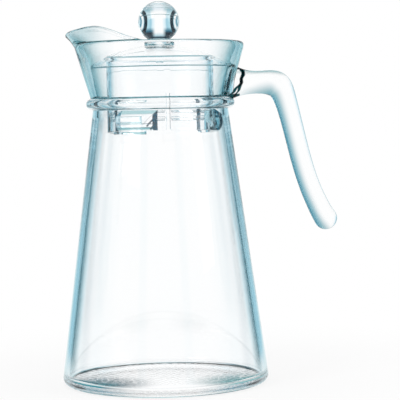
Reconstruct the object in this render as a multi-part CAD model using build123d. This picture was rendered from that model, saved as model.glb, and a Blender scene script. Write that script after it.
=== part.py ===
from build123d import *
from math import cos, exp, pi, radians, sin, sqrt
import os

os.makedirs("parts", exist_ok=True)

# A glass jug of about 1.3 litres with a hot-applied glass handle and a clear plug-in lid.
# Millimetres. Z is the jug's axis and z = 0 the plane it stands on.
# The pouring lip points along -X and the handle along +X.

# Vessel: a cone that narrows to a beaded neck
cone_base_radius = 64.5
cone_neck_radius = 41.8
cone_height = 169.7
wall_thickness = 3.5
floor_thickness = 3.8
heel_round = 4.0
floor_round = 3.5
standing_ring_width = 12.5
underside_rise = 1.0
neck_wall = 2.9
neck_round = 9.0

# Neck bead
bead_height = 6.8
bead_proud = 4.1

# Collar, flaring out from the bead to a round rim
collar_height = 33.9
collar_foot_step = 1.3
collar_spread = 9.0
rim_thickness = 4.2
rim_band = 1.3

# The line inside the collar where the lid's edge rests
seat_above_bead = 18.5
seat_wall = 5.6

# Pouring lip, drawn up from the rim: angles are counted each way from -X
lip_foot_angle = 88.0
lip_crest_angle = 38.0
lip_crest_rise = 9.4
lip_tip_rise = 6.3
lip_foot_sink = 0.8
lip_root_depth = 8.5
lip_root_skin = 0.15
lip_waist_share = 0.52
lip_waist_thickness = 3.1
lip_edge_thickness = 2.8
lip_lean = 1.0
lip_beak_reach = 6.2
lip_beak_reach_at_waist = 1.7
lip_beak_half_angle = 16.0
lip_step_angle = 8.0
channel_half_angle = 40.0

# Handle: a round glass rod along an arm, a bend and a leg, measured from the collar's side
arm_above_bead = 8.4
arm_diameter = 14.0
arm_length = 18.8
handle_root_diameter = 24.0
handle_flare_diameter = 18.2
handle_flare_length = 8.8
bend_length = 12.4
bend_drop = 8.4
bend_pull = 7.9
bend_diameter = 16.9
leg_length = 76.6
leg_spread = 24.5
leg_top_lean = 17.0
leg_end_lean = 33.0
leg_pull_share = 1 / 3
leg_diameter = 12.8
leg_swell_power = 4
handle_end_diameter = 14.3
bend_sections = 3
leg_sections = 9

# Lid: a domed shell on a hollow skirt that plugs the neck
lid_edge_gap = 0.3
lid_dome_radius = 77.0
lid_edge_height = 0.4
lid_shell_thickness = 2.0
skirt_depth = 38.0
skirt_wall = 2.2

# Three outward lugs that keep the skirt central in the neck
lug_count = 3
lug_gap = 0.4
lug_reach = 5.5
lug_toe_reach = 3.3
lug_shoulder_reach = 4.4
lug_nose_height = 5.1
lug_shoulder_height = 9.0
lug_height = 12.2
lug_span_angle = 40.0
first_lug_angle = 7.0

# Three slits in the skirt, one beside each lug
slit_width = 2.1
slit_height = 22.0
slit_mouth_round = 1.4
slit_from_lug_angle = 11.0

# Knob: a clear ball on a short stem, pinned through the dome
ball_radius = 12.7
ball_above_dome = 15.0
stem_radius = 7.0
foot_flange = 2.2
foot_thickness = 1.2
pin_radius = 2.4
pin_below_dome = 8.5
pin_gap = 0.05

# Heights that follow from the sizes above
bead_bottom = cone_height
bead_middle = bead_bottom + bead_height / 2
bead_top = bead_bottom + bead_height
rim_top = bead_top + collar_height
rim_centre_height = rim_top - rim_thickness / 2
collar_top = rim_centre_height - rim_band
seat_height = bead_top + seat_above_bead
arm_height = bead_top + arm_above_bead
skirt_bottom = seat_height - skirt_depth

# Radii that follow from the sizes above
collar_foot_radius = cone_neck_radius + collar_foot_step
rim_outer_radius = collar_foot_radius + collar_spread
rim_inner_radius = rim_outer_radius - rim_thickness
neck_bore_radius = cone_neck_radius - neck_wall
bead_reach = cone_neck_radius + bead_proud
skirt_radius = neck_bore_radius - lug_gap - lug_reach
foot_radius = stem_radius + foot_flange


def cone_slope():
    """How much the cone's radius shrinks for each unit of height."""
    return (cone_base_radius - cone_neck_radius) / cone_height


def cone_inner_radius(height):
    wall_across = wall_thickness * sqrt(1 + cone_slope() ** 2)
    return cone_base_radius - cone_slope() * height - wall_across


def collar_outer_radius(height):
    share = min((height - bead_top) / (collar_top - bead_top), 1)
    return collar_foot_radius + share * collar_spread


seat_radius = collar_outer_radius(seat_height) - seat_wall


def collar_inner_radius(height):
    """Inner radius between the seat line and the rim."""
    share = (height - seat_height) / (rim_centre_height - seat_height)
    return seat_radius + share * (rim_inner_radius - seat_radius)


# The lid's dome is a sphere through the lid's edge
lid_edge_radius = seat_radius - lid_edge_gap
dome_centre_height = seat_height + lid_edge_height - sqrt(lid_dome_radius**2 - lid_edge_radius**2)
dome_top = dome_centre_height + lid_dome_radius
ball_centre_height = dome_top + ball_above_dome


def at(radius, height):
    """A point in the XZ plane, at a distance from the jug's axis and a height."""
    return (radius, 0, height)


def ball_at(height, radius):
    return Pos(0, 0, height) * Sphere(radius)


def rod_between(bottom, top, radius):
    """An upright cylinder on the jug's axis."""
    return Pos(0, 0, bottom) * extrude(Circle(radius), top - bottom)


def rounded(face, radius_at, height_at, radius):
    """Round the corner of a profile that lies nearest to a given place."""
    corner = face.vertices().sort_by_distance(at(radius_at, height_at))[0]
    return face.fillet_2d(radius, [corner])


# Vessel


def outer_side():
    """The vessel's outer side, from the rim down to the table."""
    return [
        Line(at(rim_outer_radius, rim_centre_height), at(rim_outer_radius, collar_top)),
        Line(at(rim_outer_radius, collar_top), at(collar_foot_radius, bead_top)),
        ThreePointArc(
            at(collar_foot_radius, bead_top),
            at(bead_reach, bead_middle),
            at(cone_neck_radius, bead_bottom),
        ),
        Line(at(cone_neck_radius, bead_bottom), at(cone_base_radius, 0)),
    ]


def inner_side():
    """The vessel's inner side, from the middle of the floor up to the rim."""
    floor_corner = cone_inner_radius(floor_thickness)
    neck_bottom = (cone_inner_radius(0) - neck_bore_radius) / cone_slope()
    return [
        Line(at(0, floor_thickness), at(floor_corner, floor_thickness)),
        Line(at(floor_corner, floor_thickness), at(neck_bore_radius, neck_bottom)),
        Line(at(neck_bore_radius, neck_bottom), at(neck_bore_radius, bead_top)),
        Line(at(neck_bore_radius, bead_top), at(seat_radius, seat_height)),
        Line(at(seat_radius, seat_height), at(rim_inner_radius, rim_centre_height)),
    ]


def vessel_wall():
    """Floor, cone, bead, collar and round rim, as one turned glass wall."""
    rim = ThreePointArc(
        at(rim_inner_radius, rim_centre_height),
        at((rim_inner_radius + rim_outer_radius) / 2, rim_top),
        at(rim_outer_radius, rim_centre_height),
    )
    underside = Line(at(cone_base_radius, 0), at(0, 0))
    axis = Line(at(0, 0), at(0, floor_thickness))
    profile = make_face([*inner_side(), rim, *outer_side(), underside, axis]).face()
    profile = rounded(profile, cone_base_radius, 0, heel_round)
    profile = rounded(profile, cone_inner_radius(floor_thickness), floor_thickness, floor_round)
    neck_bottom = (cone_inner_radius(0) - neck_bore_radius) / cone_slope()
    profile = rounded(profile, neck_bore_radius, neck_bottom, neck_round)
    profile = rounded(profile, neck_bore_radius, bead_top, neck_round)
    return revolve(profile, Axis.Z)


def underside_hollow():
    """The shallow dish inside the standing ring, cut by a very large sphere."""
    edge = cone_base_radius - heel_round - standing_ring_width
    radius = (edge**2 + underside_rise**2) / (2 * underside_rise)
    return ball_at(underside_rise - radius, radius)


def filled_vessel():
    """The vessel's outside, filled solid: the surface that the handle is pressed onto."""
    bottom = Line(at(cone_base_radius, 0), at(0, 0))
    axis = Line(at(0, 0), at(0, rim_centre_height))
    top = Line(at(0, rim_centre_height), at(rim_outer_radius, rim_centre_height))
    return revolve(make_face([*outer_side(), bottom, axis, top]), Axis.Z)


# Pouring lip


def lip_rise(angle):
    """Height of the lip's edge over the rim, at an angle from -X."""
    turn = abs(angle)
    if turn < lip_crest_angle:
        dip = (lip_crest_rise - lip_tip_rise) * (1 - turn / lip_crest_angle) ** 2
        return lip_crest_rise - dip
    share = (turn - lip_crest_angle) / (lip_foot_angle - lip_crest_angle)
    return (lip_crest_rise + lip_foot_sink) * cos(share * pi / 2) ** 2 - lip_foot_sink


def lip_middle_line(angle):
    """Root, waist and edge points of the lip wall's middle line, as (radius, height)."""
    beak_share = exp(-((angle / lip_beak_half_angle) ** 2))
    rise = lip_rise(angle)
    root_height = rim_top - lip_root_depth
    edge_height = rim_top + rise - lip_edge_thickness / 2
    waist_height = root_height + lip_waist_share * (edge_height - root_height)
    root_radius = (collar_inner_radius(root_height) + collar_outer_radius(root_height)) / 2
    upright_radius = rim_inner_radius + lip_waist_thickness / 2
    waist_radius = upright_radius + lip_beak_reach_at_waist * beak_share
    lean = lip_lean * max(rise, 0) / lip_crest_rise
    edge_radius = upright_radius + lean + lip_beak_reach * beak_share
    return [(root_radius, root_height), (waist_radius, waist_height), (edge_radius, edge_height)]


def direction(start, end):
    """Unit vector between two (radius, height) points."""
    length = sqrt((end[0] - start[0]) ** 2 + (end[1] - start[1]) ** 2)
    return ((end[0] - start[0]) / length, (end[1] - start[1]) / length)


def beside(point, along, distance):
    """A point moved square to a direction, away from the jug's axis when distance is positive."""
    return at(point[0] + along[1] * distance, point[1] - along[0] * distance)


def lip_section(angle):
    """The lip's wall, cut by the radial plane at an angle from -X."""
    root, waist, edge = lip_middle_line(angle)
    root_wall = collar_outer_radius(root[1]) - collar_inner_radius(root[1])
    root_half = root_wall / 2 - lip_root_skin
    waist_half = lip_waist_thickness / 2
    edge_half = lip_edge_thickness / 2
    upward = direction(root, edge)
    outward = direction(waist, edge)
    outer_root = at(root[0] + root_half, root[1])
    outer_edge = beside(edge, outward, edge_half)
    inner_root = at(root[0] - root_half, root[1])
    inner_edge = beside(edge, outward, -edge_half)
    top = at(edge[0] + outward[0] * edge_half, edge[1] + outward[1] * edge_half)
    section = make_face(
        [
            Spline(outer_root, beside(waist, upward, waist_half), outer_edge),
            ThreePointArc(outer_edge, top, inner_edge),
            Spline(inner_edge, beside(waist, upward, -waist_half), inner_root),
            Line(inner_root, outer_root),
        ]
    )
    return Rot(0, 0, 180 + angle) * section


def channel_section(angle):
    """All that lies inside the lip wall's middle line, at an angle from -X."""
    root, waist, edge = lip_middle_line(angle)
    crest_height = rim_top + lip_crest_rise
    section = make_face(
        [
            Spline(at(*root), at(*waist), at(*edge)),
            Line(at(*edge), at(edge[0], crest_height)),
            Line(at(edge[0], crest_height), at(seat_radius, crest_height)),
            Line(at(seat_radius, crest_height), at(seat_radius, root[1])),
            Line(at(seat_radius, root[1]), at(*root)),
        ]
    )
    return Rot(0, 0, 180 + angle) * section


def lofted_around(section, half_angle):
    """Loft radial sections from one side of -X to the other."""
    steps = round(half_angle / lip_step_angle)
    return loft([section(half_angle * n / steps) for n in range(-steps, steps + 1)])


def jug_body():
    """The pressed glass vessel, opened through the rim behind its pouring lip."""
    channel = lofted_around(channel_section, channel_half_angle)
    lip = lofted_around(lip_section, lip_foot_angle)
    return vessel_wall() - underside_hollow() - channel + lip


# Handle


def leaning(angle, length):
    """A step down and outwards, at an angle from straight down."""
    return (length * sin(radians(angle)), -length * cos(radians(angle)))


def handle_path():
    """Middle line of the handle: straight arm, round bend, and a leg that leans out more at its end."""
    side = collar_outer_radius(arm_height)
    bend_x = side + arm_length
    leg_top = (bend_x + bend_length, arm_height - bend_drop)
    leg_end = (leg_top[0] + leg_spread, leg_top[1] - leg_length)
    leg_pull = leg_pull_share * sqrt(leg_spread**2 + leg_length**2)
    top_step = leaning(leg_top_lean, leg_pull)
    end_step = leaning(leg_end_lean, leg_pull)
    after_top = (leg_top[0] + top_step[0], leg_top[1] + top_step[1])
    before_end = (leg_end[0] - end_step[0], leg_end[1] - end_step[1])
    arm = Line(at(side - wall_thickness, arm_height), at(bend_x, arm_height))
    leg = Bezier(at(*leg_top), at(*after_top), at(*before_end), at(*leg_end))
    bend = Bezier(arm @ 1, arm @ 1 + arm % 1 * bend_pull, leg @ 0 - leg % 0 * bend_pull, leg @ 0)
    return arm, bend, leg


def leg_thickness(share):
    """Diameter along the leg: even for most of its length, thicker close to both ends."""
    thick = arm_diameter if share < 1 / 2 else handle_end_diameter
    return leg_diameter + (thick - leg_diameter) * (2 * share - 1) ** leg_swell_power


def rod_section(line, share, diameter):
    return Plane(line @ share, z_dir=line % share) * Circle(diameter / 2)


def handle():
    """A rod lofted through round sections, flared where it is pressed onto the collar."""
    arm, bend, leg = handle_path()
    throat = (wall_thickness + handle_flare_length) / arm.length
    sections = [
        rod_section(arm, 0, handle_root_diameter),
        rod_section(arm, throat / 2, handle_flare_diameter),
        rod_section(arm, throat, arm_diameter),
    ]
    for n in range(bend_sections):
        share = n / bend_sections
        thickness = arm_diameter + (bend_diameter - arm_diameter) * sin(pi * share)
        sections.append(rod_section(bend, share, thickness))
    for n in range(leg_sections + 1):
        share = n / leg_sections
        sections.append(rod_section(leg, share, leg_thickness(share)))
    rod = loft(sections) + Pos(leg @ 1) * Sphere(handle_end_diameter / 2)
    return rod - filled_vessel()


# Lid


def lid_dome():
    """The domed shell, sharp at its edge and flat under the edge."""
    shell = ball_at(dome_centre_height, lid_dome_radius)
    shell -= ball_at(dome_centre_height, lid_dome_radius - lid_shell_thickness)
    return shell & rod_between(seat_height, dome_top + lid_shell_thickness, lid_edge_radius)


def lid_skirt():
    """The round tube under the dome, ending inside the shell."""
    inner_radius = skirt_radius - skirt_wall
    shell_middle_radius = lid_dome_radius - lid_shell_thickness / 2
    top = dome_centre_height + sqrt(shell_middle_radius**2 - skirt_radius**2)
    tube = rod_between(skirt_bottom, top, skirt_radius)
    return tube - rod_between(skirt_bottom, top, inner_radius)


def lid_lug():
    """One outward lug: a bulge with a sloping top, its ends cut off along the radius."""
    inside = skirt_radius - skirt_wall / 2
    toe = at(skirt_radius + lug_toe_reach, skirt_bottom)
    nose = at(skirt_radius + lug_reach, skirt_bottom + lug_nose_height)
    shoulder = at(skirt_radius + lug_shoulder_reach, skirt_bottom + lug_shoulder_height)
    top = skirt_bottom + lug_height
    outline = make_face(
        [
            Line(at(inside, skirt_bottom), toe),
            ThreePointArc(toe, nose, shoulder),
            Line(shoulder, at(skirt_radius, top)),
            Line(at(skirt_radius, top), at(inside, top)),
            Line(at(inside, top), at(inside, skirt_bottom)),
        ]
    )
    lug = revolve(outline, Axis.Z, lug_span_angle)
    return Rot(0, 0, first_lug_angle - lug_span_angle / 2) * lug


def lid_slit():
    """One slit through the skirt, open at the bottom, with a rounded mouth."""
    half = slit_width / 2
    mouth = slit_mouth_round
    top = skirt_bottom + slit_height
    outline = make_face(
        [
            RadiusArc((-half - mouth, skirt_bottom), (-half, skirt_bottom + mouth), mouth),
            Line((-half, skirt_bottom + mouth), (-half, top)),
            Line((-half, top), (half, top)),
            Line((half, top), (half, skirt_bottom + mouth)),
            RadiusArc((half, skirt_bottom + mouth), (half + mouth, skirt_bottom), mouth),
            Line((half + mouth, skirt_bottom), (-half - mouth, skirt_bottom)),
        ]
    )
    blade = extrude(Plane.YZ * outline, 2 * skirt_radius)
    return Rot(0, 0, first_lug_angle + lug_span_angle / 2 + slit_from_lug_angle) * blade


def around(piece):
    """Copies of a piece, spaced evenly around the jug's axis."""
    return [Rot(0, 0, 360 / lug_count * n) * piece for n in range(lug_count)]


def lid_cap():
    """Dome, skirt and lugs in one moulding, with a hole for the knob's pin."""
    cap = lid_dome() + lid_skirt()
    for lug in around(lid_lug()):
        cap += lug
    for slit in around(lid_slit()):
        cap -= slit
    return cap - rod_between(seat_height, dome_top + lid_shell_thickness, pin_radius + pin_gap)


def lid_knob():
    """Ball, stem and foot in one, with the pin that goes through the dome."""
    foot_bottom = dome_centre_height + sqrt(lid_dome_radius**2 - foot_radius**2)
    foot_top = foot_bottom + foot_thickness
    stem = make_face(
        [
            Line(at(0, foot_bottom), at(foot_radius, foot_bottom)),
            Line(at(foot_radius, foot_bottom), at(foot_radius, foot_top)),
            Line(at(foot_radius, foot_top), at(stem_radius, foot_top + foot_flange)),
            Line(at(stem_radius, foot_top + foot_flange), at(stem_radius, ball_centre_height)),
            Line(at(stem_radius, ball_centre_height), at(0, ball_centre_height)),
            Line(at(0, ball_centre_height), at(0, foot_bottom)),
        ]
    )
    knob = ball_at(ball_centre_height, ball_radius) + revolve(stem, Axis.Z)
    knob -= ball_at(dome_centre_height, lid_dome_radius + pin_gap)
    pin_bottom = dome_top - lid_shell_thickness - pin_below_dome
    return knob + rod_between(pin_bottom, ball_centre_height, pin_radius)


nodes = {
    "jug_body": jug_body,
    "handle": handle,
    "lid_cap": lid_cap,
    "lid_knob": lid_knob,
}

for name, make in nodes.items():
    export_step(make(), f"parts/{name}.step")
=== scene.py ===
from math import atan2, ceil, cos, exp, hypot, pi, radians, sin, sqrt

import bmesh
import bpy
from mathutils import Matrix, Vector


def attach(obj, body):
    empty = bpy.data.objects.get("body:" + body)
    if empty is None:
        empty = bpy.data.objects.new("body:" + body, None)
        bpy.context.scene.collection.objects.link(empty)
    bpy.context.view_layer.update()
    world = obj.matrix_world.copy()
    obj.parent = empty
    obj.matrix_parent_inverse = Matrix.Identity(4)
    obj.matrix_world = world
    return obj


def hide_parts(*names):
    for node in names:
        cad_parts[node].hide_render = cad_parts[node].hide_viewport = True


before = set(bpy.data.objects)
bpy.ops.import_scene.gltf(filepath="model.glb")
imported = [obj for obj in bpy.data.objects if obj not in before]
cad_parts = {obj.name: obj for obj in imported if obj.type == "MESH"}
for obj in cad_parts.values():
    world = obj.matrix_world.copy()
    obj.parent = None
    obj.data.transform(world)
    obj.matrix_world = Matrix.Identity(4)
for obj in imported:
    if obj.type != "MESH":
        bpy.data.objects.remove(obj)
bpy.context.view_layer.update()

# Sizes of the object, in millimetres, as in the solids, apart from bend_diameter. The solids have 16.9
# there, and the rest makes up for what evening the bend takes away. Meshes are made in metres.
MM = 0.001

cone_base_radius = 64.5
cone_neck_radius = 41.8
cone_height = 169.7
wall_thickness = 3.5
floor_thickness = 3.8
heel_round = 4.0
floor_round = 3.5
standing_ring_width = 12.5
underside_rise = 1.0
neck_bore_radius = 38.9
neck_round = 9.0
bead_top = 176.5
bead_reach = 45.9
bead_corner_round = 0.6
collar_foot_radius = 43.1
collar_top = 207.0
rim_top = 210.4
rim_outer_radius = 52.1
rim_thickness = 4.2
seat_height = 195.0
seat_radius = 42.96

lip_foot_angle = 88.0
lip_crest_angle = 38.0
lip_crest_rise = 9.4
lip_tip_rise = 6.3
lip_foot_sink = 0.8
lip_root_depth = 8.5
lip_root_skin = 0.15
lip_waist_share = 0.52
lip_waist_thickness = 3.1
lip_edge_thickness = 2.8
lip_lean = 1.0
lip_beak_reach = 6.2
lip_beak_reach_at_waist = 1.7
lip_beak_half_angle = 16.0
channel_half_angle = 40.0

arm_height = 184.9
arm_diameter = 14.0
arm_root_x = 42.08
bend_start_x = 64.38
bend_diameter = 18.2
bend_pull = 7.9
handle_root_diameter = 24.0
handle_flare_end_x = 54.5
handle_flare_power = 1.5
handle_seam = 0.05
leg_top = (76.78, 176.5)
leg_end = (101.26, 99.9)
leg_top_lean = 17.0
leg_end_lean = 33.0
leg_diameter = 12.8
handle_end_diameter = 14.3

lid_edge_radius = 42.66
lid_edge_height = 0.4
lid_dome_radius = 77.0
lid_shell_thickness = 2.0
skirt_radius = 33.0
skirt_wall = 2.2
skirt_bottom = 157.0
lug_count = 3
lug_reach = 5.5
lug_toe_reach = 3.3
lug_shoulder_reach = 4.4
lug_nose_height = 5.1
lug_shoulder_height = 9.0
lug_height = 12.2
lug_span_angle = 40.0
first_lug_angle = 7.0
slit_width = 2.1
slit_height = 22.0
slit_mouth_round = 1.4
first_slit_angle = 38.0

ball_radius = 12.7
ball_above_dome = 15.0
stem_radius = 7.0
foot_radius = 9.2
foot_thickness = 1.2
pin_radius = 2.4
pin_below_dome = 8.5
pin_gap = 0.05

# Small rounds and margins
skirt_edge_round = 0.3
skirt_meet_round = 0.6
skirt_meet_reach = 1.2
stem_round = 1.0
pin_round = 0.4
cut_margin = 1.0
hair = 0.01
fine_slack = 0.1
zone_slack = 0.2
axis_radius = 1e-6

# Underside stipple
stipple_pitch = 4.4
stipple_depth = 0.3
stipple_outer_radius = 60.0
rings_per_bump = 5

# The floor plate's pebbled pattern, and its two patches of painted dark teal reflection as (x, y, radius),
# all in metres
pebble_size = 0.0032
pebble_stretch = 0.45
pebble_web = 0.12
left_patch = (-0.042, -0.029, 0.042)
right_patch = (0.048, -0.027, 0.040)
patch_core = 0.3

# Creases where dark lines of shade are painted
rim_line_depth = 0.1
rim_line_width = 1.2
crease_width = 0.8
heel_crease_low = 0.2
heel_crease_high = 0.9
crease_reach = 1.0
crease_inset = 0.5
dome_crease_width = 1.6
foot_line_width = 2.0

# How far a face may turn from level, from upright or from downward, as parts of its normal
level_facing = 0.8
side_facing = 0.3
downward_facing = -0.5

# The painted dark wedge of shade at the end of each lug: angles in degrees, and its taper in degrees for each
# millimetre
lug_wedge_angle = 13.0
lug_wedge_height = 4.0
lug_wedge_taper = 1.5
lug_wedge_blur = 1.5
lug_stripe_across = 1.1
lug_stripe_up = 1.6
lug_dark_start = 3.0
lug_dark_end = 4.2

# Painted bands of shade on the lugs: height over the skirt's lower edge, and width
lug_low_band = (1.2, 2.0)
lug_high_band = (lug_height - 1.5, 3.0)

# The fold round the handle's root, where the hot glass was pressed on, and the dark line of shade painted
# along it
fold_peak = (51.0, 190.0)
fold_bow = 0.053
fold_width = 1.5
fold_end_x = 52.6
fold_edge_reach = 7.6
fold_edge_blur = 0.8
fold_low_reach = 1.2
fold_low_end = 3.6
fold_wave_turn = 1.1
fold_wave_depth = 0.5
fold_depth = 0.10

# Mesh fineness
around_steps = 384
lid_steps = 256
knob_steps = 128
arc_steps = 10
corner_steps = 4
fine_corner_steps = 3
bead_trim = 3
path_steps = 24
ring_spread = 6
bend_reach = 7
rod_sides = 96
rod_end_steps = 16
dome_steps = 120
dome_rim_steps = 6
dome_under_steps = 24
lug_arc_steps = 16
lug_turn_steps = 40
mouth_steps = 6
ball_steps = 64
stem_steps = 6
foot_steps = 8
smooth_angle = 32

rim_centre_height = rim_top - rim_thickness / 2
rim_inner_radius = rim_outer_radius - rim_thickness
cone_slope = (cone_base_radius - cone_neck_radius) / cone_height
cone_inner_base = cone_base_radius - wall_thickness * sqrt(1 + cone_slope**2)
neck_bottom = (cone_inner_base - neck_bore_radius) / cone_slope
floor_corner = cone_inner_base - cone_slope * floor_thickness
dish_radius = cone_base_radius - heel_round - standing_ring_width
dome_centre = seat_height + lid_edge_height - sqrt(lid_dome_radius**2 - lid_edge_radius**2)
dome_top = dome_centre + lid_dome_radius
ball_centre = dome_top + ball_above_dome


# Camera

photo_side_px = 400
focal_px = 1612.5
sensor_mm = 36.0
camera_place = (0.0, -1.0, 0.168)
camera_yaw = 1.336
camera_pitch = 3.17
camera_roll = 1.12


def make_camera():
    """The photograph's viewpoint: level with the collar, one metre in front, turned slightly."""
    data = bpy.data.cameras.new("camera")
    data.sensor_width = sensor_mm
    data.lens = sensor_mm * focal_px / photo_side_px
    camera = bpy.data.objects.new("camera", data)
    bpy.context.scene.collection.objects.link(camera)
    aim = Matrix.Rotation(radians(-camera_yaw), 4, "Z") @ Matrix.Rotation(radians(90 - camera_pitch), 4, "X")
    tilt = Matrix.Rotation(radians(-camera_roll), 4, "Z")
    camera.matrix_world = Matrix.Translation(camera_place) @ aim @ tilt
    bpy.context.scene.camera = camera


make_camera()
bpy.context.scene.view_settings.view_transform = "Standard"


# Outlines: lists of (radius, height) points


def arc_through(start, middle, end, steps):
    """Points on the circle through three points, from start to end."""
    (ax, ay), (bx, by), (cx, cy) = start, middle, end
    d = 2 * (ax * (by - cy) + bx * (cy - ay) + cx * (ay - by))
    a2, b2, c2 = ax * ax + ay * ay, bx * bx + by * by, cx * cx + cy * cy
    ux = (a2 * (by - cy) + b2 * (cy - ay) + c2 * (ay - by)) / d
    uy = (a2 * (cx - bx) + b2 * (ax - cx) + c2 * (bx - ax)) / d
    first = atan2(ay - uy, ax - ux)
    turn_middle = (atan2(by - uy, bx - ux) - first) % (2 * pi)
    turn = (atan2(cy - uy, cx - ux) - first) % (2 * pi)
    if turn_middle > turn:
        turn -= 2 * pi
    radius = hypot(ax - ux, ay - uy)
    angles = [first + turn * n / steps for n in range(steps + 1)]
    return [(ux + radius * cos(a), uy + radius * sin(a)) for a in angles]


def rounded_corner(before, corner, after, radius, steps=arc_steps):
    """Points of the tangent arc that rounds a corner."""
    u = Vector(before) - Vector(corner)
    v = Vector(after) - Vector(corner)
    half = u.angle(v) / 2
    u.normalize()
    v.normalize()
    reach = radius / abs(sin(half)) * cos(half)
    start = Vector(corner) + u * reach
    end = Vector(corner) + v * reach
    centre = Vector(corner) + (u + v).normalized() * (radius / sin(half))
    middle = centre + (Vector(corner) - centre).normalized() * radius
    return arc_through(tuple(start), tuple(middle), tuple(end), steps)


def dish_height(radius):
    """The underside's shallow dish, inside the standing ring."""
    if radius >= dish_radius:
        return 0.0
    return underside_rise * (1 - (radius / dish_radius) ** 2)


def vessel_outline():
    """From the middle of the floor up the inside, over the rim and down to the standing ring."""
    floor_edge = (floor_corner, floor_thickness)
    neck_low = (neck_bore_radius, neck_bottom)
    neck_high = (neck_bore_radius, bead_top)
    seat = (seat_radius, seat_height)
    rim_inside = (rim_inner_radius, rim_centre_height)
    rim_middle = ((rim_inner_radius + rim_outer_radius) / 2, rim_top)
    rim_outside = (rim_outer_radius, rim_centre_height)
    collar_edge = (rim_outer_radius, collar_top)
    bead_middle = (bead_reach, (cone_height + bead_top) / 2)
    cone_top = (cone_neck_radius, cone_height)
    cone_foot = (cone_base_radius, 0)
    bead = arc_through((collar_foot_radius, bead_top), bead_middle, cone_top, 3 * arc_steps)
    points = [(0.0, floor_thickness)]
    points += rounded_corner(points[0], floor_edge, neck_low, floor_round)
    points += rounded_corner(floor_edge, neck_low, neck_high, neck_round)
    points += rounded_corner(neck_low, neck_high, seat, neck_round)
    points += [seat]
    points += arc_through(rim_inside, rim_middle, rim_outside, 2 * arc_steps)
    points += [collar_edge]
    points += rounded_corner(collar_edge, bead[0], bead[bead_trim], bead_corner_round, corner_steps)
    points += bead[bead_trim:-bead_trim]
    points += rounded_corner(bead[-bead_trim - 1], bead[-1], cone_foot, bead_corner_round, corner_steps)
    points += rounded_corner(cone_top, cone_foot, (0, 0), heel_round)
    return points


def underside_outline(start_radius):
    """From the heel's round in to the middle, in rings fine enough to carry the stipple."""
    rings = ceil(start_radius / (stipple_pitch / rings_per_bump))
    radii = [start_radius * (1 - n / rings) for n in range(1, rings)]
    return [(r, dish_height(r)) for r in radii] + [(0.0, underside_rise)]


# Meshes


def new_object(name, verts, faces):
    mesh = bpy.data.meshes.new(name)
    mesh.from_pydata([Vector(v) * MM for v in verts], [], faces)
    mesh.validate()
    thing = bpy.data.objects.new(name, mesh)
    bpy.context.scene.collection.objects.link(thing)
    return thing


def turned(name, outline, steps=around_steps, lift=None):
    """Turn an outline of (radius, height) points around Z. Points at radius 0 become one vertex."""
    verts, rings = [], []
    for radius, height in outline:
        if radius < axis_radius:
            rings.append([len(verts)])
            verts.append((0, 0, height))
            continue
        rings.append(list(range(len(verts), len(verts) + steps)))
        for n in range(steps):
            x = radius * cos(2 * pi * n / steps)
            y = radius * sin(2 * pi * n / steps)
            verts.append((x, y, height + (lift(x, y, height) if lift else 0)))
    faces = []
    pairs = list(zip(rings, rings[1:]))
    if len(rings[0]) > 1:
        pairs.append((rings[-1], rings[0]))
    for a, b in pairs:
        for n in range(steps):
            m = (n + 1) % steps
            if len(a) == 1:
                faces.append((a[0], b[n], b[m]))
            elif len(b) == 1:
                faces.append((a[n], b[0], a[m]))
            else:
                faces.append((a[n], b[n], b[m], a[m]))
    return outward(new_object(name, verts, faces))


def skinned(name, sections):
    """Join closed sections, each a list of points, into one solid with flat ends."""
    size = len(sections[0])
    verts = [point for section in sections for point in section]
    faces = []
    for s in range(len(sections) - 1):
        for n in range(size):
            m = (n + 1) % size
            a, b = s * size, (s + 1) * size
            faces.append((a + n, a + m, b + m, b + n))
    faces.append(tuple(range(size - 1, -1, -1)))
    faces.append(tuple(range(len(verts) - size, len(verts))))
    return outward(new_object(name, verts, faces))


def outward(thing):
    """Make every face of a closed mesh point outward."""
    mesh = bmesh.new()
    mesh.from_mesh(thing.data)
    bmesh.ops.recalc_face_normals(mesh, faces=mesh.faces)
    if mesh.calc_volume(signed=True) < 0:
        bmesh.ops.reverse_faces(mesh, faces=mesh.faces)
    mesh.to_mesh(thing.data)
    mesh.free()
    return thing


def combined(base, operation, *others):
    """Cut or join other solids with a base solid, and delete them."""
    for other in others:
        step = base.modifiers.new(operation.lower(), "BOOLEAN")
        step.operation = operation
        step.solver = "MANIFOLD"
        step.object = other
    bpy.context.view_layer.update()
    depsgraph = bpy.context.evaluated_depsgraph_get()
    made = bpy.data.meshes.new_from_object(base.evaluated_get(depsgraph))
    base.modifiers.clear()
    base.data = made
    for other in others:
        bpy.data.objects.remove(other)
    return base


def smoothed(thing):
    """Shade smooth, but keep the sharper edges crisp."""
    thing.data.shade_smooth()
    thing.data.set_sharp_from_angle(angle=radians(smooth_angle))
    return thing


# Vessel and lip


def stipple(x, y, height):
    """Pebbled relief under the base: irregular bumps, none lower than the standing plane."""
    if height > underside_rise + hair or hypot(x, y) > stipple_outer_radius:
        return 0.0
    k = 2 * pi / stipple_pitch
    # Slow waves of uneven lengths bend the grid, so that the bumps look irregular
    bend_x = 1.2 * sin(0.41 * k * y + 0.7) + 0.5 * sin(0.23 * k * x)
    bend_y = 1.1 * sin(0.37 * k * x + 1.9) + 0.6 * sin(0.19 * k * y)
    relief = sin(k * x + bend_x) * sin(k * y + bend_y)
    return stipple_depth * (1 + relief) / 2


def lip_rise(angle):
    """Height of the lip's edge over the rim, at an angle in degrees from -X."""
    turn = abs(angle)
    if turn < lip_crest_angle:
        dip = (lip_crest_rise - lip_tip_rise) * (1 - turn / lip_crest_angle) ** 2
        return lip_crest_rise - dip
    share = (turn - lip_crest_angle) / (lip_foot_angle - lip_crest_angle)
    return (lip_crest_rise + lip_foot_sink) * cos(share * pi / 2) ** 2 - lip_foot_sink


def collar_inner_radius(height):
    share = (height - seat_height) / (rim_centre_height - seat_height)
    return seat_radius + share * (rim_inner_radius - seat_radius)


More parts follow.
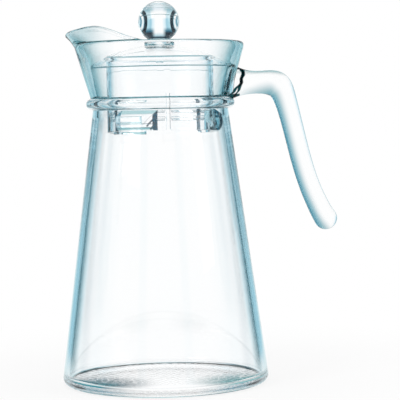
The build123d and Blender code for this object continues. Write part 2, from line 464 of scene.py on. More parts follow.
def collar_outer_radius(height):
    share = min((height - bead_top) / (collar_top - bead_top), 1)
    return collar_foot_radius + share * (rim_outer_radius - collar_foot_radius)


def lip_middle_line(angle):
    """Root, waist and edge points of the lip wall's middle line."""
    beak_share = exp(-((angle / lip_beak_half_angle) ** 2))
    rise = lip_rise(angle)
    root_height = rim_top - lip_root_depth
    edge_height = rim_top + rise - lip_edge_thickness / 2
    waist_height = root_height + lip_waist_share * (edge_height - root_height)
    root_radius = (collar_inner_radius(root_height) + collar_outer_radius(root_height)) / 2
    upright_radius = rim_inner_radius + lip_waist_thickness / 2
    waist_radius = upright_radius + lip_beak_reach_at_waist * beak_share
    lean = lip_lean * max(rise, 0) / lip_crest_rise
    edge_radius = upright_radius + lean + lip_beak_reach * beak_share
    return [(root_radius, root_height), (waist_radius, waist_height), (edge_radius, edge_height)]


def curve_through(start, middle, end, steps):
    """Points on the parabola that passes three points at their chord lengths."""
    first = hypot(middle[0] - start[0], middle[1] - start[1])
    second = hypot(end[0] - middle[0], end[1] - middle[1])
    knot = first / (first + second)
    points = []
    for n in range(steps + 1):
        t = n / steps
        a = (t - knot) * (t - 1) / knot
        b = t * (t - 1) / (knot * (knot - 1))
        c = t * (t - knot) / (1 - knot)
        points.append(tuple(a * s + b * m + c * e for s, m, e in zip(start, middle, end)))
    return points


def beside(point, start, end, distance):
    """A point moved square to the direction from start to end, outward when positive."""
    length = hypot(end[0] - start[0], end[1] - start[1])
    along = ((end[0] - start[0]) / length, (end[1] - start[1]) / length)
    return (point[0] + along[1] * distance, point[1] - along[0] * distance)


def on_angle(outline, angle):
    """Place (radius, height) points in the radial plane at an angle from -X."""
    turn = radians(180 + angle)
    return [(r * cos(turn), r * sin(turn), z) for r, z in outline]


def lip_section(angle):
    root, waist, edge = lip_middle_line(angle)
    root_half = (collar_outer_radius(root[1]) - collar_inner_radius(root[1])) / 2 - lip_root_skin
    edge_half = lip_edge_thickness / 2
    outer_root = (root[0] + root_half, root[1])
    inner_root = (root[0] - root_half, root[1])
    outer_waist = beside(waist, root, edge, lip_waist_thickness / 2)
    inner_waist = beside(waist, root, edge, -lip_waist_thickness / 2)
    outer_edge = beside(edge, waist, edge, edge_half)
    inner_edge = beside(edge, waist, edge, -edge_half)
    length = hypot(edge[0] - waist[0], edge[1] - waist[1])
    top = tuple(e + (e - w) / length * edge_half for e, w in zip(edge, waist))
    points = curve_through(outer_root, outer_waist, outer_edge, arc_steps)
    points += arc_through(outer_edge, top, inner_edge, arc_steps)[1:-1]
    points += curve_through(inner_edge, inner_waist, inner_root, arc_steps)
    return on_angle(points, angle)


def channel_section(angle):
    """All that lies inside the lip wall's middle line."""
    root, waist, edge = lip_middle_line(angle)
    crest_height = rim_top + lip_crest_rise
    points = curve_through(root, waist, edge, arc_steps)
    points += [(edge[0], crest_height), (seat_radius, crest_height), (seat_radius, root[1])]
    return on_angle(points, angle)


def lofted_around(name, section, half_angle):
    steps = round(half_angle)
    angles = [half_angle * n / steps for n in range(-steps, steps + 1)]
    return skinned(name, [section(a) for a in angles])


# Handle


def leaning(angle, length):
    """A step down and outwards, at an angle from straight down."""
    return Vector((sin(radians(angle)), -cos(radians(angle)))) * length


def bezier_point(share, a, b, c, d):
    """A point on the cubic curve from a to d, which b and c pull."""
    rest = 1 - share
    return a * rest**3 + b * 3 * share * rest**2 + c * 3 * share**2 * rest + d * share**3


def handle_path():
    """Points of the handle's middle line with their diameters, in the XZ plane."""
    arm_start = Vector((arm_root_x, arm_height))
    arm_end = Vector((bend_start_x, arm_height))
    top, end = Vector(leg_top), Vector(leg_end)
    pull = (end - top).length / 3
    after_arm = arm_end + Vector((bend_pull, 0))
    before_leg = top - leaning(leg_top_lean, bend_pull)
    after_top = top + leaning(leg_top_lean, pull)
    before_end = end - leaning(leg_end_lean, pull)
    points = []
    for n in range(path_steps):
        place = arm_start.lerp(arm_end, n / path_steps)
        points.append((place, arm_width(place.x)))
    for n in range(path_steps):
        share = n / path_steps
        place = bezier_point(share, arm_end, after_arm, before_leg, top)
        points.append((place, arm_diameter + (bend_diameter - arm_diameter) * sin(pi * share) ** 2))
    for n in range(2 * path_steps + 1):
        share = n / (2 * path_steps)
        place = bezier_point(share, top, after_top, before_end, end)
        points.append((place, leg_width(share)))
    return points


def flare_share(x):
    """1 at the handle's root, falling to 0 where its flare ends."""
    return max(0, (handle_flare_end_x - x) / (handle_flare_end_x - arm_root_x))


def arm_width(x):
    """Diameter of the arm: flared at the root."""
    return arm_diameter + (handle_root_diameter - arm_diameter) * flare_share(x)**handle_flare_power


def leg_width(share):
    """Diameter along the leg: even for most of its length, thicker close to both ends."""
    thick = arm_diameter if share < 0.5 else handle_end_diameter
    return leg_diameter + (thick - leg_diameter) * (2 * share - 1) ** 4


def handle_rod():
    path = handle_path()
    last = path[-1][0]
    direction = (path[-1][0] - path[-2][0]).normalized()
    sections = []
    for n, (place, diameter) in enumerate(path):
        ahead = path[min(n + ring_spread, len(path) - 1)][0]
        behind = path[max(n - ring_spread, 0)][0]
        sections.append(rod_ring(place, (ahead - behind).normalized(), diameter / 2))
    sections = evened(sections, bend_reach)
    radius = handle_end_diameter / 2
    for n in range(1, rod_end_steps):
        turn = pi / 2 * n / rod_end_steps
        sections.append(rod_ring(last + direction * radius * sin(turn), direction, radius * cos(turn)))
    return skinned("handle_clear", sections)


def evened(sections, reach):
    """Each section at the average of its neighbours, which takes the kink out of the inner bend."""
    made = []
    for n in range(len(sections)):
        span = min(reach, n, len(sections) - 1 - n)
        near = sections[n - span:n + span + 1]
        made.append([tuple(sum(parts) / len(near) for parts in zip(*points)) for points in zip(*near)])
    return made


def rod_ring(place, direction, radius):
    """A ring of points round the handle's line. Near the root it has the folds of the pressed hot glass."""
    normal = Vector((-direction.y, direction.x))
    flare = flare_share(place.x)
    points = []
    for n in range(rod_sides):
        turn = 2 * pi * n / rod_sides
        wave = 1 + flare * (fold_depth * sin(3 * turn + 1.0) + fold_depth / 2 * sin(7 * turn + 2.2))
        out = place + normal * radius * wave * cos(turn)
        points.append((out.x, radius * wave * sin(turn), out.y))
    return points


def handle_plug():
    """The vessel's outside, filled, and a hair larger: it trims the handle to the collar."""
    outline = vessel_outline()
    outside = outline[outline.index((rim_outer_radius, collar_top)):]
    outline = [(0.0, collar_top)] + [(r + handle_seam, z) for r, z in outside] + [(0.0, 0.0)]
    return turned("handle_plug", outline)


def handle_glass():
    return smoothed(combined(handle_rod(), "DIFFERENCE", handle_plug()))


def jug_glass():
    """Vessel and lip in one glass solid, with the channel cut behind the lip."""
    outline = vessel_outline()
    outline += underside_outline(outline[-1][0])
    vessel = turned("jug_glass", outline, lift=stipple)
    channel = lofted_around("channel", channel_section, channel_half_angle)
    lip = lofted_around("lip", lip_section, lip_foot_angle)
    combined(vessel, "DIFFERENCE", channel)
    combined(vessel, "UNION", lip)
    return smoothed(vessel)


# Lid


def sphere_height(radius_out, shell_radius):
    """Height of the dome's sphere at a distance from the axis."""
    return dome_centre + sqrt(shell_radius**2 - radius_out**2)


def dome_points(start, end, shell_radius, steps):
    radii = [start + (end - start) * n / steps for n in range(steps + 1)]
    return [(r, sphere_height(r, shell_radius)) for r in radii]


def lid_outline():
    """The dome and the skirt under it, as one closed ring around the pin's hole."""
    under = lid_dome_radius - lid_shell_thickness
    hole = pin_radius + pin_gap
    inner = skirt_radius - skirt_wall
    under_edge = sqrt(under**2 - (seat_height - dome_centre) ** 2)
    outer_meet = (skirt_radius, sphere_height(skirt_radius, under))
    inner_meet = (inner, sphere_height(inner, under))
    outer_foot = (skirt_radius, skirt_bottom)
    inner_foot = (inner, skirt_bottom)
    inside = dome_points(inner - skirt_meet_reach, hole, under, dome_under_steps)
    points = dome_points(hole, lid_edge_radius, lid_dome_radius, dome_steps)
    points += [(lid_edge_radius, seat_height)]
    points += dome_points(under_edge, skirt_radius + skirt_meet_reach, under, dome_rim_steps)
    points += rounded_corner(points[-1], outer_meet, outer_foot, skirt_meet_round, corner_steps)
    points += rounded_corner(outer_meet, outer_foot, inner_foot, skirt_edge_round, fine_corner_steps)
    points += rounded_corner(outer_foot, inner_foot, inner_meet, skirt_edge_round, fine_corner_steps)
    points += rounded_corner(inner_foot, inner_meet, inside[0], skirt_meet_round, corner_steps)
    return points + inside


def lug_solid(turn):
    inside = skirt_radius - skirt_wall / 2
    toe = (skirt_radius + lug_toe_reach, skirt_bottom)
    nose = (skirt_radius + lug_reach, skirt_bottom + lug_nose_height)
    shoulder = (skirt_radius + lug_shoulder_reach, skirt_bottom + lug_shoulder_height)
    top = skirt_bottom + lug_height
    outline = arc_through(toe, nose, shoulder, lug_arc_steps)
    outline += [(skirt_radius, top), (inside, top), (inside, skirt_bottom)]
    shares = [n / lug_turn_steps - 0.5 for n in range(lug_turn_steps + 1)]
    angles = [turn + lug_span_angle * share for share in shares]
    return skinned("lug", [on_angle(outline, angle - 180) for angle in angles])


def slit_solid(turn):
    half = slit_width / 2
    mouth = slit_mouth_round
    inset = mouth * (1 - sqrt(0.5))
    mouth_middle = (half + inset, skirt_bottom + inset)
    side = arc_through((half + mouth, skirt_bottom), mouth_middle, (half, skirt_bottom + mouth), mouth_steps)
    outline = [(half + mouth, skirt_bottom - cut_margin)] + side + [(half, skirt_bottom + slit_height)]
    outline += [(-y, z) for y, z in reversed(outline)]
    angle = radians(turn)
    sections = []
    for reach in (skirt_radius - 3 * skirt_wall, skirt_radius + 2 * skirt_wall):
        sections.append(
            [
                (reach * cos(angle) - y * sin(angle), reach * sin(angle) + y * cos(angle), z)
                for y, z in outline
            ]
        )
    return skinned("slit", sections)


def lid_cap():
    cap = turned("lid_cap_clear", lid_outline(), lid_steps)
    turns = [360 / lug_count * n for n in range(lug_count)]
    combined(cap, "UNION", *[lug_solid(first_lug_angle + turn) for turn in turns])
    combined(cap, "DIFFERENCE", *[slit_solid(first_slit_angle + turn) for turn in turns])
    return smoothed(cap)


def lid_knob():
    """Ball, stem, foot and pin, turned as one."""
    ball_low = ball_centre - sqrt(ball_radius**2 - stem_radius**2)
    foot_top = sphere_height(foot_radius, lid_dome_radius) + foot_thickness
    flange = foot_radius - stem_radius
    over_dome = lid_dome_radius + pin_gap
    stem_top = (stem_radius, ball_low)
    stem_foot = (stem_radius, foot_top + flange)
    foot_edge = (foot_radius, foot_top)
    points = arc_through((0.0, ball_centre + ball_radius), (ball_radius, ball_centre), stem_top, ball_steps)
    points += rounded_corner(stem_top, stem_foot, foot_edge, stem_round, stem_steps)
    points += [foot_edge]
    points += dome_points(foot_radius, pin_radius, over_dome, foot_steps)
    pin_bottom = dome_top - lid_shell_thickness - pin_below_dome
    pin_corner = (pin_radius, pin_bottom)
    pin_foot = (0.0, pin_bottom)
    points += rounded_corner((pin_radius, dome_top), pin_corner, pin_foot, pin_round, fine_corner_steps)
    points += [pin_foot]
    return smoothed(turned("lid_knob_clear", points, knob_steps))


# Materials and light

# Refraction by zone: not the real material's, but what makes each zone look as in the photograph
body_ior = 1.5
collar_ior = 1.22
crease_ior = 1.4
floor_ior = 1.06
handle_ior = 1.15
skirt_ior = 1.15
dome_ior = 1.07
lid_edge_ior = 1.2
lug_ior = 1.35
lug_end_ior = 1.2
ball_ior = 2.2
pin_ior = 1.02

dull = 0.1
ball_shine = 0.06
ball_reflection = (0.1, 0.1, 0.1)
streak_density = 18.0
clear = (1.0, 1.0, 1.0)
glass_cast = (0.985, 0.995, 1.0)

# The direction, in X and Z, that the handle's side with painted teal shade faces
painted_shade_side = (-0.85, -0.65)

room_light = 0.8
lamp_aim = (0, 0, 0.1)
floor_half_size = 4000.0
floor_drop = 0.0002
floor_shade = (0.9, 0.9, 0.9)
floor_near_light = 0.85

# From where to where each one fades in: distances from the axis, in metres, and shares of a direction
floor_light_ring = (0.10, 0.30)
floor_open_ring = (0.07, 0.30)
level_fade = (0.5, 0.9)
haze_fade = (-0.20, -0.05)
sideways_fade = (0.16, 0.42)


def feed(tree, value, socket):
    """Give a socket its value: a number, a colour or another node's output."""
    if isinstance(value, tuple):
        socket.default_value = (*value, 1)
    elif isinstance(value, (int, float)):
        socket.default_value = value
    else:
        tree.links.new(value, socket)


def new_node(tree, kind, **inputs):
    node = tree.nodes.new("ShaderNode" + kind)
    for key, value in inputs.items():
        feed(tree, value, node.inputs[key])
    return node


def calc(tree, operation, *values):
    """A Math node's output. Each value is a number or another node's output."""
    node = new_node(tree, "Math")
    node.operation = operation
    for socket, value in zip(node.inputs, values):
        feed(tree, value, socket)
    return node.outputs[0]


def times(tree, first, second):
    return calc(tree, "MULTIPLY", first, second)


def stepped(tree, value, start, end):
    """0 below start, 1 above end, and a smooth step between them."""
    node = new_node(tree, "MapRange", Value=value, **{"From Min": start, "From Max": end})
    node.interpolation_type = "SMOOTHSTEP"
    return node.outputs["Result"]


def graded(tree, value, stops, span):
    """A colour ramp's output, from (value, colour) stops. The values go from 0 to the span."""
    node = new_node(tree, "ValToRGB", Fac=calc(tree, "DIVIDE", value, span))
    elements = node.color_ramp.elements
    while len(elements) < len(stops):
        elements.new(0.5)
    for element, (place, color) in zip(elements, stops):
        element.position = place / span
        element.color = (*color, 1)
    return node.outputs["Color"]


def mixed(tree, share, first, second, blend="MIX"):
    """A Mix node's output. Share is a number or an output, and the colours are tuples or outputs."""
    node = new_node(tree, "Mix")
    node.data_type = "RGBA"
    node.blend_type = blend
    for key, value in (("Factor", share), ("A", first), ("B", second)):
        feed(tree, value, node.inputs[key])
    return node.outputs["Result"]


def mixed_shader(tree, share, first, second):
    node = new_node(tree, "MixShader")
    for socket, value in zip(node.inputs, (share, first, second)):
        feed(tree, value, socket)
    return node.outputs[0]


def new_glass(name, ior, shine=0.5):
    """A clear material and its tree."""
    material = bpy.data.materials.new(name)
    material.use_nodes = True
    shader = material.node_tree.nodes["Principled BSDF"]
    shader.inputs["IOR"].default_value = ior
    shader.inputs["Specular IOR Level"].default_value = shine
    shader.inputs["Transmission Weight"].default_value = 1.0
    return material, material.node_tree


def parts_of(tree, output, source="TexCoord"):
    """X, Y and Z of a coordinate. Object is the place on the object itself, and Normal its normal."""
    place = new_node(tree, source).outputs[output]
    return new_node(tree, "SeparateXYZ", Vector=place).outputs


def level_length(tree, across, along):
    """The length of a level step, from its two parts."""
    squares = [times(tree, part, part) for part in (across, along)]
    return calc(tree, "SQRT", calc(tree, "ADD", *squares))


def grazed(tree, start, end):
    """0 where the surface is seen square on, 1 where it is seen along its side."""
    facing = new_node(tree, "LayerWeight", Blend=0.5).outputs["Facing"]
    return stepped(tree, facing, start, end)


def outward_normal(tree, value):
    """A part of the surface's own normal, also where the light leaves the glass."""
    inside = new_node(tree, "NewGeometry").outputs["Backfacing"]
    return times(tree, value, calc(tree, "SUBTRACT", 1.0, times(tree, inside, 2.0)))


def band_share(tree, value, middle, width):
    """1 within a narrow band around a value, else 0."""
    away = calc(tree, "ABSOLUTE", calc(tree, "SUBTRACT", value, middle))
    return calc(tree, "SUBTRACT", 1.0, stepped(tree, away, width / 4, width / 2))


def upright_share(tree, normal):
    """1 on upright surfaces, 0 on level ones."""
    level = stepped(tree, calc(tree, "ABSOLUTE", normal["Z"]), *level_fade)
    return calc(tree, "SUBTRACT", 1.0, level)


def finish_glass(material, color, rough=0.02, wave_size=0.02, wave_strength=0.02):
    """Faint streaks in the cast and the polish, and long low waves in the surface."""
    tree = material.node_tree
    shader = tree.nodes["Principled BSDF"]
    place = new_node(tree, "TexCoord").outputs["Object"]
    streaks = new_node(tree, "TexNoise", Vector=place, Scale=streak_density).outputs["Fac"]
    waves = new_node(tree, "TexNoise", Vector=place, Scale=1 / wave_size, Detail=1.0).outputs["Fac"]
    bump = new_node(tree, "Bump", Height=waves, Strength=wave_strength, Distance=MM)
    feed(tree, mixed(tree, streaks, color, glass_cast, "MULTIPLY"), shader.inputs["Base Color"])
    feed(tree, times(tree, streaks, rough), shader.inputs["Roughness"])
    feed(tree, bump.outputs["Normal"], shader.inputs["Normal"])
    return material


def painted_side_shade(tree, start, end, shade_color):
    """Clear, with painted shade in a given colour where an upright side is seen at a grazing angle."""
    upright = upright_share(tree, parts_of(tree, "Normal"))
    return mixed(tree, times(tree, grazed(tree, start, end), upright), clear, shade_color)


def jug_glass_material():
    material, tree = new_glass("pressed_glass", body_ior)
    # Painted shade: teal on upright sides where they are seen at a grazing angle
    color = painted_side_shade(tree, 0.42, 0.95, (0.20, 0.50, 0.58))
    return finish_glass(material, color, wave_strength=0.05)


def collar_glass_material():
    """The collar and lip, with painted teal shade on grazing upright sides and a fine painted dark line of
    shade along the rim.
    """
    material, tree = new_glass("collar_glass", collar_ior)
    color = painted_side_shade(tree, 0.18, 0.85, (0.14, 0.44, 0.50))
    height = parts_of(tree, "Object")["Z"]
    # A fine dark line of shade, painted along the rim
    line = band_share(tree, height, (rim_top - rim_line_depth) * MM, rim_line_width * MM)
    color = mixed(tree, line, color, (0.06, 0.18, 0.20))
    return finish_glass(material, color, wave_size=0.01, wave_strength=0.12)


def edge_glass_material():
    """The pressed glass along its creases, with painted shade where it looks darkest, most of all towards the
    handle.
    """
    material, tree = new_glass("edge_glass", crease_ior, dull)
    spot = parts_of(tree, "Object")
    heel = calc(tree, "LESS_THAN", spot["Z"], floor_thickness * MM)
    # Painted shade: dark teal along the creases, lighter teal at the heel, near black towards the handle
    plain = mixed(tree, heel, (0.03, 0.13, 0.16), (0.12, 0.34, 0.38))
    color = mixed(tree, stepped(tree, spot["X"], 0.0, 0.03), plain, (0.003, 0.025, 0.035))
    return finish_glass(material, color, rough=0.1, wave_strength=0.05)


def floor_patch(tree, spot, patch):
    """1 in the middle of a round patch of the floor plate where dark reflection is painted, fading to 0 at
    its radius.
    """
    x, y, radius = patch
    away = level_length(tree, calc(tree, "SUBTRACT", spot["X"], x), calc(tree, "SUBTRACT", spot["Y"], y))
    return calc(tree, "SUBTRACT", 1.0, stepped(tree, away, radius * patch_core, radius))


def base_glass_material():
    """The floor plate: a pebbled underside that shows through, with painted deep teal reflection in two
    patches towards the front.
    """
    material, tree = new_glass("base_glass", floor_ior, dull)
    spot = parts_of(tree, "Object")
    left = floor_patch(tree, spot, left_patch)
    right = floor_patch(tree, spot, right_patch)
    stretch = new_node(tree, "Mapping", Vector=new_node(tree, "TexCoord").outputs["Object"])
    stretch.inputs["Scale"].default_value = (1.0, pebble_stretch, 1.0)
    pebbles = new_node(tree, "TexVoronoi", Vector=stretch.outputs["Vector"], Scale=1 / pebble_size)
    pebbles.feature = "DISTANCE_TO_EDGE"
    underside = calc(tree, "LESS_THAN", spot["Z"], floor_thickness / 2 * MM)
    inside = calc(tree, "MAXIMUM", stepped(tree, pebbles.outputs["Distance"], 0.0, pebble_web), underside)
    # Painted dark reflection in the two patches, with clear pebble webs
    color = mixed(tree, times(tree, left, inside), clear, (0.0, 0.06, 0.09))
    color = mixed(tree, times(tree, right, inside), color, (0.05, 0.22, 0.24))
    return finish_glass(material, color)


def handle_glass_material():
    """The rod has painted teal shade where seen at a grazing angle, along its top and on the side towards the
    jug, and a painted dark line of shade along the fold round its root.
    """
    material, tree = new_glass("handle_glass", handle_ior)
    spot = parts_of(tree, "Object")
    normal = parts_of(tree, "Normal")
    across = outward_normal(tree, normal["X"])
    up = outward_normal(tree, normal["Z"])
    sides = [times(tree, part, share) for part, share in zip((across, up), painted_shade_side)]
    towards = calc(tree, "ADD", *sides)
    # Painted shade: teal at grazing angles, along the top and on the side towards the jug, and dark along the
    # root fold
    color = mixed(tree, grazed(tree, 0.62, 1.0), clear, (0.10, 0.30, 0.30))
    color = mixed(tree, stepped(tree, up, 0.60, 0.96), color, (0.12, 0.30, 0.32))
    color = mixed(tree, stepped(tree, towards, -0.05, 0.85), color, (0.18, 0.40, 0.46))
    color = mixed(tree, root_fold_shade(tree, spot), color, (0.0, 0.003, 0.004))
    return finish_glass(material, color, rough=0.10, wave_strength=0.03)


def root_fold_shade(tree, spot):
    """Where dark shade is painted: 1 along the fold round the handle's root and on the upper and lower edge
    of the flare, else 0.
    """
    x = calc(tree, "DIVIDE", spot["X"], MM)
    z = calc(tree, "DIVIDE", spot["Z"], MM)
    above = calc(tree, "SUBTRACT", z, fold_peak[1])
    bow = times(tree, times(tree, above, above), fold_bow)
    turns = times(tree, z, fold_wave_turn)
    wave = times(tree, calc(tree, "SINE", turns), fold_wave_depth)
    line = calc(tree, "ADD", calc(tree, "SUBTRACT", fold_peak[0], bow), wave)
    away = calc(tree, "ABSOLUTE", calc(tree, "SUBTRACT", x, line))
    fold = calc(tree, "SUBTRACT", 1.0, stepped(tree, away, fold_width / 2, fold_width))
    reach = calc(tree, "ABSOLUTE", calc(tree, "SUBTRACT", z, arm_height))
    below = calc(tree, "LESS_THAN", z, arm_height)
    start = calc(tree, "SUBTRACT", fold_edge_reach, times(tree, below, fold_low_reach))
    edge = stepped(tree, calc(tree, "SUBTRACT", reach, start), 0.0, fold_edge_blur)
    end = calc(tree, "SUBTRACT", fold_end_x, times(tree, below, fold_low_end))
    edge = times(tree, edge, calc(tree, "LESS_THAN", x, end))
    return calc(tree, "MAXIMUM", fold, edge)


def lid_material(name, ior):
    material, tree = new_glass(name, ior)
    # Painted shade: pale teal on upright sides where they are seen at a grazing angle
    color = painted_side_shade(tree, 0.45, 1.0, (0.50, 0.76, 0.82))
    return finish_glass(material, color, rough=0.005, wave_size=0.015)


def lug_material():
    """The lugs: painted teal shade where seen at a grazing angle, painted bands of shade, and a painted dark
    wedge of shade with stripes at one end, where the light is caught in the corner.
    """
    material, tree = new_glass("lug_plastic", lug_ior)
    spot = parts_of(tree, "Object")
    turn = calc(tree, "DEGREES", calc(tree, "ARCTAN2", spot["Y"], spot["X"]))
    last_end = first_lug_angle + lug_span_angle / 2
    from_end = calc(tree, "WRAP", calc(tree, "SUBTRACT", last_end, turn), 360 / lug_count, 0.0)
    height = calc(tree, "DIVIDE", spot["Z"], MM)
    low = calc(tree, "ABSOLUTE", calc(tree, "SUBTRACT", height, skirt_bottom + lug_wedge_height))
    reach = calc(tree, "SUBTRACT", lug_wedge_angle, times(tree, low, lug_wedge_taper))
    wedge = stepped(tree, calc(tree, "SUBTRACT", reach, from_end), 0.0, lug_wedge_blur)
    aside = times(tree, from_end, lug_stripe_across)
    slant = calc(tree, "ADD", aside, times(tree, height, lug_stripe_up))
    stripes = stepped(tree, calc(tree, "SINE", slant), -0.2, 0.9)
    core = calc(tree, "LESS_THAN", from_end, lug_wedge_angle / 3)
    wedge = times(tree, wedge, calc(tree, "MAXIMUM", core, stripes))
    # Painted shade: teal at grazing angles, two bands, and the dark wedge at one end
    color = mixed(tree, grazed(tree, 0.15, 0.8), clear, (0.10, 0.36, 0.42))
    for (middle, width), shade_color in ((lug_low_band, (0.08, 0.30, 0.34)), (lug_high_band, (0.20, 0.46, 0.50))):
        color = mixed(tree, band_share(tree, height, skirt_bottom + middle, width), color, shade_color)
    color = mixed(tree, wedge, color, (0.0, 0.004, 0.012))
    return finish_glass(material, color, rough=0.005, wave_size=0.006, wave_strength=0.15)


def lug_end_material():
    """The cut sides of the slits and the outer edge of the lugs' ends, painted almost black as shade, with
    painted light teal shade on the rest of the lugs' ends.
    """
    material, tree = new_glass("lug_end", lug_end_ior, dull)
    spot = parts_of(tree, "Object")
    radius = calc(tree, "DIVIDE", level_length(tree, spot["X"], spot["Y"]), MM)
    outer = stepped(tree, radius, skirt_radius + lug_dark_start, skirt_radius + lug_dark_end)
    dark = calc(tree, "MAXIMUM", outer, calc(tree, "LESS_THAN", radius, skirt_radius + fine_slack))
    color = mixed(tree, dark, (0.36, 0.60, 0.66), (0.0, 0.008, 0.02))
    return finish_glass(material, color, rough=0.1)


def knob_material():
    """The ball, with painted dark teal shade in a thin line round its outline, where it is seen at a grazing
    angle.
    """
    material, tree = new_glass("knob_plastic", ball_ior, ball_shine)
    tree.nodes["Principled BSDF"].inputs["Specular Tint"].default_value = (*ball_reflection, 1)
    color = mixed(tree, grazed(tree, 0.6, 0.95), clear, (0.02, 0.13, 0.14))
    return finish_glass(material, color, rough=0.005, wave_size=0.015, wave_strength=0.01)


def pin_material():
    """The knob's pin, which hardly shows inside the lid."""
    material = new_glass("pin_plastic", pin_ior, dull)[0]
    return finish_glass(material, clear, rough=0.005, wave_size=0.015, wave_strength=0.01)


def lid_edge_material():
    """The lid's thin moulded edge and the foot's lower edge, painted dark teal as shade, so that they show as
    fine dark lines.
    """
    material = new_glass("lid_edge", lid_edge_ior)[0]
    return finish_glass(material, (0.06, 0.20, 0.24), rough=0.1)


# The studio that the glass shows, by direction: colours at angles from the backdrop behind the jug,
# and at heights from the horizon, as the direction's upward share
white = (1.0, 1.0, 1.0)
pale_card = (0.30, 0.56, 0.66)
side_card = (0.62, 0.80, 0.86)
dark_card = (0.0, 0.02, 0.035)
deep_card = (0.10, 0.32, 0.42)
faint_card = (0.75, 0.88, 0.92)
card_colors = [
    (0, white),
    (20, white),
    (24, side_card),
    (36.5, side_card),
    (38, dark_card),
    (50, dark_card),
    (53, pale_card),
    (56, white),
    (63, white),
    (68, deep_card),
    (76, deep_card),
    (82, white),
    (146, white),
    (149, faint_card),
    (156, faint_card),
    (159, white),
]
haze_colors = [
    (0, white),
    (10, white),
    (16, (0.78, 0.91, 0.96)),
    (24, (0.56, 0.77, 0.86)),
    (36, (0.74, 0.92, 0.97)),
    (48, white),
    (90, (0.55, 0.80, 0.88)),
    (120, white),
]
rise_colors = [
    (0.0, white),
    (0.60, white),
    (0.78, (0.48, 0.68, 0.76)),
    (0.86, (0.0, 0.04, 0.07)),
    (0.94, (0.0, 0.04, 0.07)),
    (1.0, (0.5, 0.70, 0.76)),
]
side_rise_colors = [
    (0.0, white),
    (0.34, white),
    (0.52, (0.10, 0.26, 0.34)),
    (0.64, (0.0, 0.015, 0.03)),
    (0.95, (0.0, 0.015, 0.03)),
    (1.0, (0.5, 0.70, 0.76)),
]
fall_colors = [
    (0.0, white),
    (0.50, white),
    (0.75, (0.70, 0.80, 0.88)),
    (1.0, (0.40, 0.62, 0.66)),
]
side_fall_colors = [
    (0.0, white),
    (0.42, white),
    (0.68, (0.30, 0.52, 0.58)),
    (1.0, (0.12, 0.34, 0.36)),
]


def seen_through_glass(tree):
    """1 for a ray that has left or bounced off the glass, else 0."""
    rays = new_node(tree, "LightPath")
    return calc(tree, "MAXIMUM", rays.outputs["Is Glossy Ray"], rays.outputs["Is Transmission Ray"])


def studio_turn(tree, x, y, z):
    """Angle from the backdrop behind the jug, in degrees, so that the cards look upright in the ball."""
    narrowed = calc(tree, "SUBTRACT", 1.0, times(tree, times(tree, z, z), 0.5))
    across = times(tree, calc(tree, "ABSOLUTE", x), narrowed)
    side = calc(tree, "DEGREES", calc(tree, "ARCSINE", calc(tree, "MINIMUM", across, 1.0)))
    facing = calc(tree, "GREATER_THAN", y, 0.0)
    sign = calc(tree, "SUBTRACT", times(tree, facing, 2.0), 1.0)
    behind = times(tree, calc(tree, "SUBTRACT", 1.0, facing), 180.0)
    return calc(tree, "ADD", behind, times(tree, sign, side))


def studio_color(tree, x, y, z):
    turn = studio_turn(tree, x, y, z)
    cards = graded(tree, turn, card_colors, 180)
    haze = graded(tree, turn, haze_colors, 180)
    haze = mixed(tree, stepped(tree, z, *haze_fade), white, haze)
    sideways = stepped(tree, calc(tree, "ABSOLUTE", x), *sideways_fade)
    height = calc(tree, "MAXIMUM", z, 0.0)
    depth = calc(tree, "MAXIMUM", times(tree, z, -1.0), 0.0)
    rises = [graded(tree, height, stops, 1) for stops in (rise_colors, side_rise_colors)]
    falls = [graded(tree, depth, stops, 1) for stops in (fall_colors, side_fall_colors)]
    rise = mixed(tree, sideways, *rises)
    fall = mixed(tree, sideways, *falls)
    level = mixed(tree, 1.0, cards, haze, "MULTIPLY")
    return mixed(tree, 1.0, mixed(tree, 1.0, level, rise, "MULTIPLY"), fall, "MULTIPLY")


def make_world():
    """White for the camera. Through and off the glass: the studio's backdrops, cards and top."""
    world = bpy.data.worlds.new("studio")
    bpy.context.scene.world = world
    world.use_nodes = True
    tree = world.node_tree
    tree.nodes.clear()
    studio = new_node(tree, "Background", Color=studio_color(tree, *parts_of(tree, "Generated")))
    lit = new_node(tree, "Background", Color=white, Strength=room_light)
    plain = new_node(tree, "Background", Color=white)
    camera_ray = new_node(tree, "LightPath").outputs["Is Camera Ray"]
    shader = mixed_shader(tree, seen_through_glass(tree), lit.outputs[0], studio.outputs[0])
    shader = mixed_shader(tree, camera_ray, shader, plain.outputs[0])
    new_node(tree, "OutputWorld", Surface=shader)


def make_floor():
    """A plain white floor that keeps a faint shadow. The glass sees the studio past its near part."""
    corners = [(x * floor_half_size, y * floor_half_size, 0) for x, y in ((-1, -1), (1, -1), (1, 1), (-1, 1))]
    floor = new_object("floor", corners, [(0, 1, 2, 3)])
    floor.location.z = -floor_drop
    material = bpy.data.materials.new("floor_white")
    material.use_nodes = True
    tree = material.node_tree
    tree.nodes.clear()
    spot = parts_of(tree, "Position", "NewGeometry")
    away = level_length(tree, spot["X"], spot["Y"])
    through = seen_through_glass(tree)
    glow = new_node(tree, "Emission", Color=white)
    matte = new_node(tree, "BsdfDiffuse", Color=floor_shade)
    open_air = new_node(tree, "BsdfTransparent")

    far = times(tree, stepped(tree, away, *floor_light_ring), 1 - floor_near_light)
    camera_share = calc(tree, "ADD", far, floor_near_light)
    camera_ray = new_node(tree, "LightPath").outputs["Is Camera Ray"]
    shown = calc(tree, "MAXIMUM", times(tree, camera_ray, camera_share), through)
    surface = mixed_shader(tree, shown, matte.outputs[0], glow.outputs[0])
    open_share = times(tree, through, stepped(tree, away, *floor_open_ring))
    surface = mixed_shader(tree, open_share, surface, open_air.outputs[0])
    new_node(tree, "OutputMaterial", Surface=surface)
    floor.data.materials.append(material)


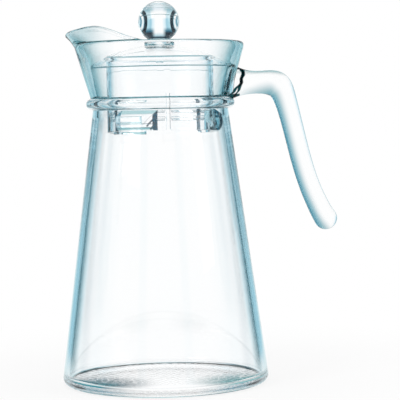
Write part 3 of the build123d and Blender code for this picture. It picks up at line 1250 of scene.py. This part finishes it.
def make_lamp(name, place, size, power):
    data = bpy.data.lights.new(name, "AREA")
    data.shape = "RECTANGLE"
    data.size, data.size_y = size
    data.energy = power
    lamp = bpy.data.objects.new(name, data)
    bpy.context.scene.collection.objects.link(lamp)
    lamp.location = place
    lamp.rotation_mode = "QUATERNION"
    lamp.rotation_quaternion = (Vector(lamp_aim) - Vector(place)).to_track_quat("-Z", "Y")


# Zones: each tests a face's radius, height and normal, and how far the normal points away from the axis


def mark_zones(piece, *zones):
    """Give the faces in each zone the next material. Where zones overlap, the last one wins."""
    for face in piece.data.polygons:
        radius = max(hypot(face.center.x, face.center.y), MM)
        away = (face.normal.x * face.center.x + face.normal.y * face.center.y) / radius
        face.material_index = 0
        for n, zone in enumerate(zones):
            if zone(radius / MM, face.center.z / MM, face.normal, away):
                face.material_index = n + 1


def on_collar(radius, height, normal, away):
    return height > bead_top + bead_corner_round


def on_jug_crease(radius, height, normal, away):
    """The creases above and below the bead, and the heel's lower edge."""
    above_bead = abs(height - bead_top) < crease_width and radius < collar_foot_radius + crease_reach
    below_bead = abs(height - cone_height) < crease_width / 3
    heel = heel_crease_low < height < heel_crease_high and radius > stipple_outer_radius
    return radius > cone_neck_radius - crease_inset and (above_bead or below_bead or heel)


def on_floor_plate(radius, height, normal, away):
    """The floor's level top and its underside, without the round between floor and wall."""
    top = height > floor_thickness - zone_slack and radius < floor_corner
    low = height < floor_thickness + zone_slack
    return abs(normal.z) > level_facing and low and (top or radius < stipple_outer_radius)


def on_lid_crease(radius, height, normal, away):
    """The lid's thin edge, and the line on the dome above the skirt."""
    edge = radius > lid_edge_radius - zone_slack
    above_skirt = abs(radius - skirt_radius) < dome_crease_width / 2
    return edge or (above_skirt and height > seat_height and normal.z > 0)


def on_lug(radius, height, normal, away):
    return radius > skirt_radius + zone_slack and height < skirt_bottom + lug_height + fine_slack


def on_cut_side(radius, height, normal, away):
    """The lugs' ends and the slits' sides, which face along the skirt."""
    return max(abs(away), abs(normal.z)) < side_facing and height < skirt_bottom + slit_height


def on_dome(radius, height, normal, away):
    return height > seat_height - fine_slack


def on_pin(radius, height, normal, away):
    return radius < pin_radius + zone_slack and height < dome_top + zone_slack


def on_foot_edge(radius, height, normal, away):
    """The lower edge of the knob's foot, where it meets the dome."""
    under = normal.z < downward_facing and height < dome_top + foot_thickness
    return under and radius > foot_radius - foot_line_width


def finished(piece, body, slot, nodes, *materials):
    piece.data.materials.clear()
    for material in materials:
        piece.data.materials.append(material)
    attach(piece, body)
    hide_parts(*nodes)


make_world()
make_floor()
make_lamp("key_lamp", place=(-0.9, -0.9, 0.9), size=(0.5, 0.9), power=6.0)
make_lamp("fill_lamp", place=(1.0, -0.5, 0.6), size=(0.4, 0.8), power=3.0)
glass = jug_glass()
jug_materials = [jug_glass_material(), collar_glass_material(), base_glass_material(), edge_glass_material()]
finished(glass, "jug", "glass", ["jug_body"], *jug_materials)
mark_zones(glass, on_collar, on_floor_plate, on_jug_crease)
finished(handle_glass(), "jug", "glass", ["handle"], handle_glass_material())
cap = lid_cap()
lid_edge = lid_edge_material()
lid_materials = [
    lid_material("lid_plastic", skirt_ior),
    lid_material("dome_plastic", dome_ior),
    lid_edge,
    lug_material(),
    lug_end_material(),
]
finished(cap, "lid", "clear_plastic", ["lid_cap"], *lid_materials)
mark_zones(cap, on_dome, on_lid_crease, on_lug, on_cut_side)
knob = lid_knob()
finished(knob, "lid", "clear_plastic", ["lid_knob"], knob_material(), pin_material(), lid_edge)
mark_zones(knob, on_pin, on_foot_edge)

bpy.context.scene.cycles.max_bounces = 24
bpy.context.scene.cycles.glossy_bounces = 12
bpy.context.scene.cycles.transmission_bounces = 24
